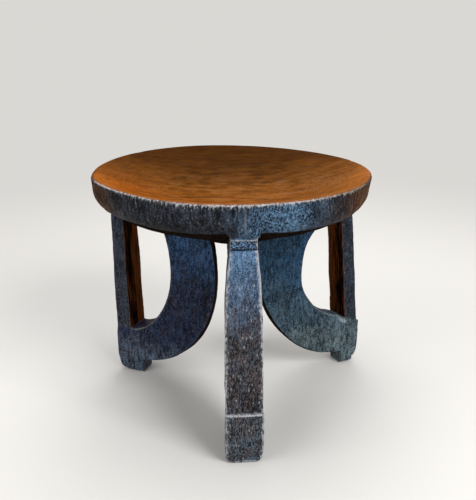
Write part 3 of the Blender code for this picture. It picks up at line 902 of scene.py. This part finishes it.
def dish_brown(tree, place):
    """Return the dish's brown and its grain, which is noise in sheets tilted with height and long along x.

    Light pores, dust, darker flames, bands, lines and rings, dark and pale blotches, scratches and pits are
    laid over it. Painted light makes the side walls and the near part lighter, more so beside the lip, and
    painted shade makes the far part and the far lip darker.
    """
    parts = add_node(tree, "ShaderNodeSeparateXYZ", {0: place}).outputs
    layer = reckon(tree, "MULTIPLY_ADD", parts["Z"], 1.1, parts["Y"])
    layer = reckon(tree, "MULTIPLY_ADD", noise(tree, place, 7.0, 2.0), 0.022, layer)
    layered = add_node(tree, "ShaderNodeCombineXYZ", {"X": parts["X"], "Y": layer}).outputs[0]
    grain = drawn_noise(tree, layered, (18.0, 520.0, 1.0), 4.0, 0.7)
    pores = drawn_noise(tree, layered, (60.0, 1300.0, 1.0), 2.0, 0.6)
    bands = drawn_noise(tree, layered, (12.0, 120.0, 1.0), 4.0, 0.65)
    offset = {0: place, 1: (AXIS.x, AXIS.y, 0.0)}
    from_axis = add_node(tree, "ShaderNodeVectorMath", offset, operation="SUBTRACT").outputs[0]
    level = stretched(tree, from_axis, (1.0, 1.0, 0.0))
    outwards = add_node(tree, "ShaderNodeVectorMath", {0: level}, operation="NORMALIZE").outputs[0]
    reach = add_node(tree, "ShaderNodeVectorMath", {0: level}, operation="LENGTH").outputs["Value"]
    sweep = add_node(tree, "ShaderNodeSeparateXYZ", {0: outwards}).outputs
    turned = {"X": sweep["X"], "Y": sweep["Y"], "Z": reach}
    ringed = add_node(tree, "ShaderNodeCombineXYZ", turned).outputs[0]
    rings = drawn_noise(tree, ringed, (4.0, 4.0, 360.0), 4.0, 0.65)
    ring_share = step_between(tree, reach, 0.030, 0.085, 0.42)
    # Painted light: the side walls and the near part get the lighter border tone, the middle and far part the
    # darker one.
    uneven_bounds = drawn_noise(tree, place, (18.0, 34.0, 34.0), 4.0, 0.65)
    back = reckon(tree, "MULTIPLY_ADD", uneven_bounds, 0.11, parts["Y"])
    side = step_between(tree, reckon(tree, "MULTIPLY_ADD", uneven_bounds, 0.06, parts["X"]), -0.09, 0.13)
    border = blend(tree, side, (0.285, 0.070, 0.004), (0.262, 0.087, 0.015))
    forward_part = step_between(tree, back, 0.13, 0.03)
    lit_walls_and_front = step_between(tree, reckon(tree, "ABSOLUTE", parts["X"]), 0.05, 0.13, forward_part)
    lit_walls_and_front = reckon(tree, "MAXIMUM", lit_walls_and_front, step_between(tree, back, 0.09, -0.06))
    brown = blend(tree, lit_walls_and_front, (0.232, 0.076, 0.009), border)
    # Painted light: the walls are lighter still beside the lip.
    beside_lip = step_between(tree, reach, 0.115, 0.150, lit_walls_and_front)
    brown = blend(tree, reckon(tree, "MULTIPLY", beside_lip, 0.60), brown, (0.430, 0.132, 0.020))
    brown = blend(tree, step_between(tree, pores, 0.52, 0.72, 0.30), brown, (0.330, 0.114, 0.014))
    dust = drawn_noise(tree, layered, (15.0, 210.0, 1.0), 4.0, 0.7)
    dust = step_between(tree, dust, 0.46, 0.68, between(tree, side, 0.20, 0.55))
    brown = blend(tree, dust, brown, (0.185, 0.096, 0.044))
    flame = drawn_noise(tree, layered, (20.0, 230.0, 4.0), 3.0, 0.7)
    brown = shade(tree, step_between(tree, flame, 0.44, 0.64, 0.26), brown, (0.36, 0.33, 0.34))
    brown = shade(tree, step_between(tree, bands, 0.40, 0.66, 0.24), brown, (0.42, 0.40, 0.42))
    dark_line = step_between(tree, grain, 0.48, 0.66, between(tree, ring_share, 0.42, 0.14))
    brown = shade(tree, dark_line, brown, (0.28, 0.27, 0.30))
    brown = shade(tree, step_between(tree, rings, 0.46, 0.66, ring_share), brown, (0.40, 0.38, 0.40))
    blotch = drawn_noise(tree, place, (48.0, 80.0, 80.0), 5.0, 0.7)
    middle = step_between(tree, reach, 0.125, 0.060)
    sunk = step_between(tree, blotch, 0.46, 0.60, between(tree, middle, 0.25, 0.75))
    brown = shade(tree, sunk, brown, (0.48, 0.47, 0.50))
    bloom = step_between(tree, blotch, 0.46, 0.36, between(tree, middle, 0.12, 0.42))
    brown = blend(tree, bloom, brown, (0.215, 0.108, 0.046))
    scratch = drawn_noise(tree, layered, (26.0, 760.0, 1.0), 1.0)
    brown = blend(tree, step_between(tree, scratch, 0.72, 0.78, 0.55), brown, (0.400, 0.240, 0.130))
    brown = shade(tree, step_between(tree, pores, 0.42, 0.30, 0.45), brown, (0.16, 0.15, 0.16))
    # Painted shade: the far part of the dish is darker, and the far lip darker still.
    brown = shade(tree, step_between(tree, back, 0.02, 0.19), brown, (0.27, 0.27, 0.30))
    return shade(tree, mask_of(tree, "far_lip"), brown, (0.22, 0.22, 0.26)), grain


def rim_dark(tree, place, under):
    """Return the colour outside the dish, how far it is rubbed, how much painted warm reflection it has and
    its tool marks' height.
    """
    cloud = noise(tree, place, 55.0, 4.0, 0.65)
    # Painted sky reflection: lighter and blue on the rim's front, bluish white on the worn lip there.
    painted_sky_sheen = step_between(tree, reckon(tree, "ADD", mask_of(tree, "painted_sky_sheen"), cloud), 0.60, 1.58)
    # Painted warm reflection: browner at both ends of the rim.
    warm_reflection = step_between(tree, reckon(tree, "ADD", mask_of(tree, "warm_reflection"), cloud), 0.62, 1.45)
    marks = use_group(tree, tool_marks, {
        "Vector": place,
        "Strokes": (430.0, 430.0, 240.0),
        "Scrapes": (380.0, 380.0, 90.0),
        "Curl": 4.0,
    })
    deep = blend(tree, painted_sky_sheen, (0.002, 0.002, 0.003), (0.004, 0.010, 0.020))
    rubbed = blend(tree, painted_sky_sheen, (0.058, 0.066, 0.090), (0.126, 0.240, 0.384))
    scraped = mix_marks(tree, marks["Grit"], 0.70, marks["Streak"], 0.90, 0.45)
    struck = mix_marks(tree, marks["Grit"], 0.50, marks["Ridge"], 0.34, 0.0)
    skin = use_group(tree, patina, {
        "Vector": place,
        "Mark": between(tree, painted_sky_sheen, scraped, struck),
        "Deep": blend(tree, warm_reflection, deep, (0.020, 0.008, 0.004)),
        "Rubbed": blend(tree, warm_reflection, rubbed, (0.190, 0.086, 0.043)),
    })
    chips = {"Vector": place, "Chips": (520.0, 520.0, 150.0), "Edge": mask_of(tree, "lip"), "Amount": 0.95}
    worn = use_group(tree, worn_edge, chips)["Wear and highlight"]
    speck = use_group(tree, pale_specks, {"Vector": place, "Cells": (330.0, 330.0, 220.0)})["Speck"]
    worn = reckon(tree, "MAXIMUM", worn, reckon(tree, "MULTIPLY", speck, 0.16))
    pale = blend(tree, painted_sky_sheen, (0.450, 0.450, 0.460), (0.400, 0.490, 0.590))
    pale = blend(tree, mask_of(tree, "tan"), pale, (0.250, 0.200, 0.130))
    rim = blend(tree, worn, skin["Color"], pale)
    split = reckon(tree, "MULTIPLY", mask_of(tree, "split"), 0.6)
    rim = blend(tree, split, rim, (0.200, 0.215, 0.235))
    # Painted shade: the underside is near black, with the gouge's ridges a little lighter.
    underside_shade = step_between(tree, reckon(tree, "MULTIPLY_ADD", marks["Ridge"], 0.4, marks["Grit"]), 0.45, 0.95)
    underside_shade = blend(tree, underside_shade, (0.004, 0.003, 0.002), (0.030, 0.018, 0.013))
    return blend(tree, under, rim, underside_shade), skin["Rub"], warm_reflection, marks["Height"]


def seat_wood():
    """Return the seat's finish: brown grain in the dish with painted light and shade, patina outside with
    painted reflections, a pale worn lip with painted highlights, and a painted dark underside.
    """
    material, tree, shader, place = new_wood("seat_wood")
    dish = mask_of(tree, "dish")
    under = mask_of(tree, "under")
    brown, grain = dish_brown(tree, place)
    rim, rub, warm_reflection, height = rim_dark(tree, place, under)
    tree.links.new(blend(tree, dish, rim, brown), shader.inputs["Base Color"])
    smooth = reckon(tree, "MULTIPLY_ADD", grain, 0.30, 0.35)
    rough = between(tree, dish, between(tree, rub, *PATINA_ROUGH), smooth)
    tree.links.new(rough, shader.inputs["Roughness"])
    wax = between(tree, dish, between(tree, warm_reflection, 0.20, 0.08), 0.015)
    wax = reckon(tree, "MULTIPLY", reckon(tree, "SUBTRACT", 1.0, under), wax)
    tree.links.new(wax, shader.inputs["Coat Weight"])
    dent(tree, shader, between(tree, dish, height, reckon(tree, "MULTIPLY", grain, 0.16)))
    return material


points, masks = seat_surface()
seat = put_tube("carved_seat", points, grid_normals(points), masks)
seat.data.materials.append(seat_wood())
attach(seat, "root")
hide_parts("seat")


# Floor
# A plain pale studio floor of matt paint, a wide round sheet. It shows its shadow close to the stool, and
# further off it is shown to the camera in one even pale tone.
FLOOR_RADIUS = 12.0
FLOOR_TONE = (0.64, 0.625, 0.60)
FLOOR_NEAR = 0.45
FLOOR_FAR = 1.30
SHOWN_LEVEL = 1.1
rim_turn = np.linspace(0.0, 2.0 * math.pi, 96, endpoint=False)
rim_points = np.stack([np.cos(rim_turn), np.sin(rim_turn), 0.0 * rim_turn], axis=-1) * FLOOR_RADIUS
floor_mesh = bpy.data.meshes.new("studio_floor")
floor_mesh.from_pydata(rim_points.tolist(), [], [list(range(len(rim_points)))])
floor = bpy.data.objects.new("studio_floor", floor_mesh)
bpy.context.scene.collection.objects.link(floor)
floor_paint = bpy.data.materials.new("studio_floor")
floor_paint.use_nodes = True
tree = floor_paint.node_tree
paint = tree.nodes["Principled BSDF"]
paint.inputs["Base Color"].default_value = (*FLOOR_TONE, 1.0)
paint.inputs["Roughness"].default_value = 0.9
paint.inputs["Specular IOR Level"].default_value = 0.1


def seen_directly(tree):
    """Return 1 for rays that show a surface to the camera, mirrored or through glass too, and else 0."""
    path = add_node(tree, "ShaderNodeLightPath").outputs
    seen = reckon(tree, "MAXIMUM", path["Is Camera Ray"], path["Is Glossy Ray"])
    return reckon(tree, "MAXIMUM", seen, path["Is Transmission Ray"])


ground = add_node(tree, "ShaderNodeTexCoord").outputs["Object"]
distance = add_node(tree, "ShaderNodeVectorMath", {0: ground}, operation="LENGTH").outputs["Value"]
shown = reckon(tree, "MULTIPLY", step_between(tree, distance, FLOOR_NEAR, FLOOR_FAR), seen_directly(tree))
even = add_node(tree, "ShaderNodeEmission", {"Color": FLOOR_TONE, "Strength": SHOWN_LEVEL}).outputs[0]
mixed = add_node(tree, "ShaderNodeMixShader", {0: shown, 1: paint.outputs[0], 2: even}).outputs[0]
tree.links.new(mixed, tree.nodes["Material Output"].inputs["Surface"])
floor_mesh.materials.append(floor_paint)


# Light
# Plain soft studio light: a large lamp in front to the right, weaker ones to the left, overhead and behind,
# and an even sky that is shown to the camera in the floor's pale tone.
LAMPS = {
    "key": dict(place=(1.2, -1.6, 1.5), size=1.3, power=52.0),
    "fill": dict(place=(-1.6, -0.9, 1.1), size=1.6, power=17.0),
    "top": dict(place=(0.0, 0.4, 2.0), size=1.6, power=20.0),
    "back": dict(place=(0.5, 1.9, 1.3), size=1.6, power=14.0),
}
LAMP_AIM = Vector((0.0, 0.0, 0.15))
for lamp_name, lamp in LAMPS.items():
    light = bpy.data.lights.new(lamp_name, "AREA")
    light.shape = "DISK"
    light.size = lamp["size"]
    light.energy = lamp["power"]
    holder = bpy.data.objects.new(lamp_name, light)
    holder.location = lamp["place"]
    holder.rotation_euler = (LAMP_AIM - holder.location).to_track_quat("-Z", "Y").to_euler()
    bpy.context.scene.collection.objects.link(holder)
world = bpy.data.worlds.new("studio")
world.use_nodes = True
tree = world.node_tree
sky = tree.nodes["Background"]
sky.inputs["Color"].default_value = (1.0, 1.0, 1.0, 1.0)
sky.inputs["Strength"].default_value = 0.36
pale_sky = add_node(tree, "ShaderNodeBackground", {"Color": FLOOR_TONE, "Strength": SHOWN_LEVEL}).outputs[0]
skies = {0: seen_directly(tree), 1: sky.outputs[0], 2: pale_sky}
mixed = add_node(tree, "ShaderNodeMixShader", skies).outputs[0]
tree.links.new(mixed, tree.nodes["World Output"].inputs["Surface"])
bpy.context.scene.world = world
bpy.context.scene.view_settings.view_transform = "Standard"


# Camera
# The photograph's viewing angle, from a camera fitted to the stool's outlines. It stands 0.77 m in front of
# the seat's axis and 0.44 m above the floor.
CAMERA_DISTANCE = 4.9826 * SEAT_RADIUS
CAMERA_HEIGHT = 2.8206 * SEAT_RADIUS
CAMERA_PITCH = 0.3272
CAMERA_PAN = 0.0092
CAMERA_TURN = -0.0732
FOCAL_PIXELS = 700.27
IMAGE_HEIGHT = 500.0
turn = Matrix.Rotation(CAMERA_TURN, 3, "Z")
forward = turn @ Vector((
    math.sin(CAMERA_PAN) * math.cos(CAMERA_PITCH),
    math.cos(CAMERA_PAN) * math.cos(CAMERA_PITCH),
    -math.sin(CAMERA_PITCH),
))
sideways = turn @ Vector((math.cos(CAMERA_PAN), -math.sin(CAMERA_PAN), 0.0))
upwards = sideways.cross(forward)
lens = bpy.data.cameras.new("photo_view")
lens.sensor_width = 36.0
lens.lens = FOCAL_PIXELS / IMAGE_HEIGHT * lens.sensor_width
camera = bpy.data.objects.new("photo_view", lens)
stand = turn @ Vector((0.0, -CAMERA_DISTANCE, CAMERA_HEIGHT)) + Vector((AXIS.x, AXIS.y, 0.0))
facing = Matrix((sideways, upwards, -forward)).transposed().to_4x4()
camera.matrix_world = Matrix.Translation(stand) @ facing
bpy.context.scene.collection.objects.link(camera)
bpy.context.scene.camera = camera
